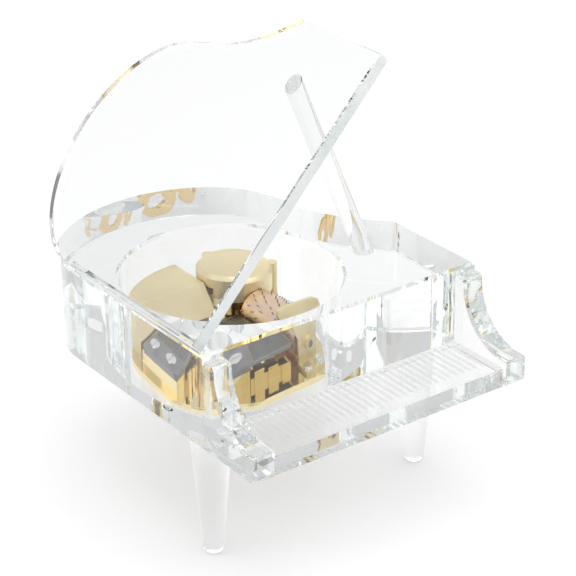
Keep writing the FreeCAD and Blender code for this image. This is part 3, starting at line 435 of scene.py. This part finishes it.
# ---------------------------------------------------------------- the instrument
class Bond(Enum):
    """Which faces of a glass piece are bonded to its neighbour: a plane's normal in the part's frame."""

    BACK = (0, 1, 0)
    LEFT = (-1, 0, 0)
    RIGHT = (1, 0, 0)
    UP = (0, 0, 1)
    DOWN = (0, 0, -1)


@dataclass
class CrystalCase:
    """The glass: body, shelf, cheeks, lid, prop and legs.

    Each piece is a copy of the frame's shape, merged and smoothed so that it bends light cleanly. Faces
    bonded with clear glue reach a hair into their neighbour, so that no two faces coincide. The grooves
    between the keys are shallower than the frame's.
    """

    shop: Paintshop
    glue: float = 0.03 * MM
    well_gap: float = 0.05 * MM
    groove_depths: tuple = (0.1 * MM, 0.3 * MM)
    smooth_angle: float = math.radians(24)
    finishes: dict = field(default_factory=lambda: {"keyboard_shelf": "crystal_grooved",
                                                    "lid_plate": "crystal_edged"})
    bonds: dict = field(default_factory=lambda: {
        "body_block": (),
        "keyboard_shelf": (Bond.BACK, Bond.LEFT, Bond.RIGHT),
        "left_cheek": (Bond.BACK,),
        "right_cheek": (Bond.BACK,),
        "lid_plate": (),
        "lid_bond": (),
        "lid_prop": (),
        "front_left_leg": (Bond.UP,),
        "front_right_leg": (Bond.UP,),
        "tail_leg": (Bond.UP,),
    })

    def push(self, piece: bpy.types.Object, normal: Vector, depth: float) -> None:
        """Move the outermost flat face along a direction.

        Args:
            piece: The glass piece.
            normal: Direction that the face looks in.
            depth: How far it moves, in metres.
        """
        reach = max(v.co.dot(normal) for v in piece.data.vertices)
        for vertex in piece.data.vertices:
            if vertex.co.dot(normal) > reach - self.glue:
                vertex.co += normal * depth

    def lower_well(self, piece: bpy.types.Object, floor: float) -> None:
        """Leave a film of air under the bedplate, on the well's floor."""
        for vertex in piece.data.vertices:
            if abs(vertex.co.z - floor) < self.glue:
                vertex.co.z -= self.well_gap

    def shallow_grooves(self, piece: bpy.types.Object) -> None:
        """Raise the floors of the grooves between the keys, so that they read as pale bands."""
        top = max(v.co.z for v in piece.data.vertices)
        least, most = self.groove_depths
        for vertex in piece.data.vertices:
            if least < top - vertex.co.z < most:
                vertex.co.z = top - GROOVE_SKIM

    def build(self, nodes: dict) -> None:
        """Make and dress the glass pieces."""
        lid_lean = self.lid_normal(nodes["lid_plate"])
        for name, faces in self.bonds.items():
            piece = copy_node(nodes[name], "glass_" + name)
            for face in faces:
                self.push(piece, Vector(face.value), self.glue)
            if name == "body_block":
                self.lower_well(piece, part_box("bedplate")[0].z)
            if name in ("lid_prop", "lid_bond"):
                self.push(piece, Vector(Bond.DOWN.value), self.glue)
                self.push(piece, lid_lean, self.glue)
            if name == "keyboard_shelf":
                self.shallow_grooves(piece)
            weigh_normals(piece, self.smooth_angle)
            self.shop.dress(piece, self.finishes.get(name, "crystal"))
            settle(piece, name, "root")

    def lid_normal(self, lid: bpy.types.Object) -> Vector:
        """Normal of the lid's upper face, read from its largest face."""
        largest = max(lid.data.polygons, key=lambda face: face.area)
        normal = largest.normal.copy()
        return normal if normal.z > 0 else -normal


@dataclass
class Movement:
    """The comb-and-cylinder movement in the well.

    Castings and stamped plates get their edges broken, so that they catch light as real ones do.
    """

    shop: Paintshop
    nodes: dict
    slots: dict
    smooth_angle: float = math.radians(30)
    flat_angle: float = math.radians(0.6)
    broken_edges: dict = field(default_factory=lambda: {
        "bedplate": 0.14 * MM, "front_bearing_bracket": 0.16 * MM, "spring_housing": 0.20 * MM,
        "governor_cover": 0.22 * MM, "comb_screws": 0.06 * MM, "winding_key": 0.16 * MM,
    })

    def break_edges(self, name: str, width: float) -> bpy.types.Object:
        """Copy a node and round its sharp edges.

        Args:
            name: Node to copy.
            width: Width of the rounding, in metres.

        Returns:
            The rounded copy.
        """
        piece = copy_node(self.nodes[name], "cast_" + name)
        bpy.ops.object.mode_set(mode="EDIT")
        bpy.ops.mesh.select_all(action="SELECT")
        bpy.ops.mesh.dissolve_limited(angle_limit=self.flat_angle)
        bpy.ops.object.mode_set(mode="OBJECT")
        edge = piece.modifiers.new("broken_edges", "BEVEL")
        edge.width, edge.segments, edge.limit_method = width, 2, "ANGLE"
        edge.angle_limit, edge.use_clamp_overlap = self.smooth_angle, True
        bpy.ops.object.modifier_apply(modifier=edge.name)
        weigh_normals(piece, self.smooth_angle)
        return piece

    def build(self, body_of: dict) -> None:
        """Dress every metal node, or its rounded copy, with the finish of its record slot.

        Args:
            body_of: Moving body of each node.
        """
        for name, slot in self.slots.items():
            if slot == "crystal":
                continue
            if name in self.broken_edges:
                piece = self.break_edges(name, self.broken_edges[name])
                self.shop.dress(piece, slot)
                settle(piece, name, body_of[name])
            else:
                self.shop.dress(self.nodes[name], slot)
                LOG.info("movement piece %s in %s", name, slot)


# ---------------------------------------------------------------- studio
@dataclass
class Studio:
    """Pale floor, soft tent of light and the camera."""

    centre: Vector
    floor_size: float = 8.0
    air: float = 0.05 * MM
    azimuth: float = -36.12
    elevation: float = 26.33
    roll: float = -0.612
    distance: float = 0.5
    lens: float = 134.26
    aim: tuple = (-0.07544, -0.11658, 0.13001)
    cards: tuple = ((75.0, 16.0), (-95.0, 13.0), (-10.0, 10.0))
    card_tone: tuple = (0.16, 0.16, 0.17, 1)
    card_fade: float = 1.25
    floor_tone: tuple = (0.60, 0.60, 0.60, 1)
    floor_glow: float = 0.455
    tent_low: tuple = (0.88, 0.88, 0.89, 1)
    tent_middle: tuple = (0.74, 0.74, 0.75, 1)
    tent_high: tuple = (1.05, 1.05, 1.05, 1)
    tent_strength: float = 0.90
    bounces: int = 64

    def floor(self) -> None:
        """Lay the pale floor under the feet, glowing a little so that it comes out white."""
        deselect_all()
        bpy.ops.mesh.primitive_plane_add(size=self.floor_size, location=(0, 0, -self.air))
        plane = bpy.context.object
        plane.name = "studio_floor"
        bpy.ops.object.mode_set(mode="EDIT")
        bpy.ops.mesh.subdivide(number_cuts=4)
        bpy.ops.object.mode_set(mode="OBJECT")
        material = bpy.data.materials.new("floor_paper")
        material.use_nodes = True
        shader = material.node_tree.nodes["Principled BSDF"]
        shader.inputs["Base Color"].default_value = self.floor_tone
        shader.inputs["Roughness"].default_value = 0.8
        shader.inputs["Emission Color"].default_value = (1, 1, 1, 1)
        shader.inputs["Emission Strength"].default_value = self.floor_glow
        plane.data.materials.append(material)
        plane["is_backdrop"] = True

    def tent(self) -> None:
        """A white light tent, greyer half way up, with dark cards for the glass to draw its edges."""
        world = bpy.data.worlds.new("light_tent")
        bpy.context.scene.world = world
        world.use_nodes = True
        nodes, links = world.node_tree.nodes, world.node_tree.links
        back = nodes["Background"]
        place = nodes.new("ShaderNodeTexCoord")
        axes = nodes.new("ShaderNodeSeparateXYZ")
        links.new(place.outputs["Generated"], axes.inputs[0])
        ramp = nodes.new("ShaderNodeValToRGB")
        stops = ramp.color_ramp.elements
        stops[0].position, stops[0].color = 0.0, self.tent_low
        stops[1].position, stops[1].color = 1.0, self.tent_high
        middle = stops.new(0.45)
        middle.color = self.tent_middle
        links.new(axes.outputs["Z"], ramp.inputs["Fac"])
        shade = ramp.outputs["Color"]
        for azimuth, half_width in self.cards:
            shade = self.card(nodes, links, place.outputs["Generated"], shade, azimuth, half_width)
        links.new(shade, back.inputs["Color"])
        back.inputs["Strength"].default_value = self.tent_strength

    def card(self, nodes: bpy.types.Nodes, links: bpy.types.NodeLinks, sky: bpy.types.NodeSocket,
             shade: bpy.types.NodeSocket, azimuth: float, half_width: float) -> bpy.types.NodeSocket:
        """Stand one tall dark card in the tent.

        Args:
            nodes: The world's nodes.
            links: The world's links.
            sky: Direction that a ray leaves in.
            shade: Brightness of the tent so far.
            azimuth: Degrees round the object, 0 in front of the keyboard, 90 on the open side.
            half_width: Half the card's width, in degrees.

        Returns:
            The brightness with the card in it.
        """
        turn = math.radians(azimuth)
        ahead = nodes.new("ShaderNodeVectorMath")
        ahead.operation = "DOT_PRODUCT"
        ahead.inputs[1].default_value = (math.sin(turn), -math.cos(turn), 0.0)
        links.new(sky, ahead.inputs[0])
        cover = nodes.new("ShaderNodeMapRange")
        cover.interpolation_type = "SMOOTHSTEP"
        cover.inputs["From Min"].default_value = math.cos(math.radians(half_width * self.card_fade))
        cover.inputs["From Max"].default_value = math.cos(math.radians(half_width))
        links.new(ahead.outputs["Value"], cover.inputs["Value"])
        mix = nodes.new("ShaderNodeMix")
        mix.data_type = "RGBA"
        links.new(cover.outputs["Result"], mix.inputs["Factor"])
        links.new(shade, mix.inputs["A"])
        mix.inputs["B"].default_value = self.card_tone
        return mix.outputs["Result"]

    def lamp(self, name: str, azimuth: float, elevation: float, reach: float, wide: float, tall: float,
             power: float) -> None:
        """Hang one soft box that faces the object.

        Args:
            name: Name of the lamp.
            azimuth: Degrees round the object, 0 in front of the keyboard, 90 on the open side.
            elevation: Degrees above the horizon.
            reach: Distance from the object's centre, in metres.
            wide: Width of the box, in metres.
            tall: Height of the box, in metres.
            power: Power in watts.
        """
        turn, lift = math.radians(azimuth), math.radians(elevation)
        away = Vector((math.sin(turn) * math.cos(lift), -math.cos(turn) * math.cos(lift), math.sin(lift)))
        data = bpy.data.lights.new(name, "AREA")
        data.shape, data.size, data.size_y, data.energy = "RECTANGLE", wide, tall, power
        box = bpy.data.objects.new(name, data)
        bpy.context.collection.objects.link(box)
        box.location = self.centre + away * reach
        box.rotation_mode = "QUATERNION"
        box.rotation_quaternion = away.to_track_quat("Z", "Y")

    def camera(self) -> None:
        """Stand the camera above the front left corner."""
        turn, lift, roll = (math.radians(a) for a in (self.azimuth, self.elevation, self.roll))
        away = Vector((math.sin(turn) * math.cos(lift), -math.cos(turn) * math.cos(lift), math.sin(lift)))
        side = Vector((math.cos(turn), math.sin(turn), 0.0))
        rise = away.cross(side)
        right = side * math.cos(roll) + rise * math.sin(roll)
        above = rise * math.cos(roll) - side * math.sin(roll)
        data = bpy.data.cameras.new("studio_camera")
        data.sensor_width, data.lens = 36.0, self.lens
        data.clip_start, data.clip_end = 0.01, 50.0
        eye = bpy.data.objects.new("studio_camera", data)
        bpy.context.collection.objects.link(eye)
        place = Matrix((right, above, away)).transposed().to_4x4()
        place.translation = Vector(self.aim) + away * self.distance
        eye.matrix_world = place
        bpy.context.scene.camera = eye

    def settings(self) -> None:
        """Light bounces enough for nested glass, and plain display of colours."""
        scene = bpy.context.scene
        scene.view_settings.view_transform = "Standard"
        scene.cycles.max_bounces = self.bounces
        scene.cycles.transmission_bounces = self.bounces
        scene.cycles.glossy_bounces = self.bounces
        scene.cycles.transparent_max_bounces = 24

    def build(self) -> None:
        """Set up the whole studio."""
        self.floor()
        self.tent()
        self.lamp("top_box", 20.0, 78.0, 0.9, 0.9, 0.9, 3.2)
        self.lamp("left_box", -105.0, 35.0, 0.9, 0.5, 0.7, 0.8)
        self.camera()
        self.settings()
        LOG.info("studio set")


def main() -> None:
    """Load the frame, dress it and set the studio."""
    logging.basicConfig(level=logging.INFO, format="%(name)s: %(message)s")
    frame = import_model()
    cad_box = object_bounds()
    deselect_all()
    nodes = frame["nodes"]
    slots = {row["node"]: row["material_slot"] for row in frame["record"]["subparts"]}
    shop = Paintshop(ShaderGroups().build())
    shelf_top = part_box("keyboard_shelf")[1].z
    shop.build(shelf_top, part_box("lid_plate")[0].y)
    CrystalCase(shop).build(nodes)
    bodies = frame["record"]["behaviour"]["bodies"]
    body_of = {node: body for body, members in bodies.items() for node in members}
    Movement(shop, nodes, slots).build(body_of)
    Studio(sum(cad_box, Vector()) / 2).build()


if __name__ == "__main__":
    main()
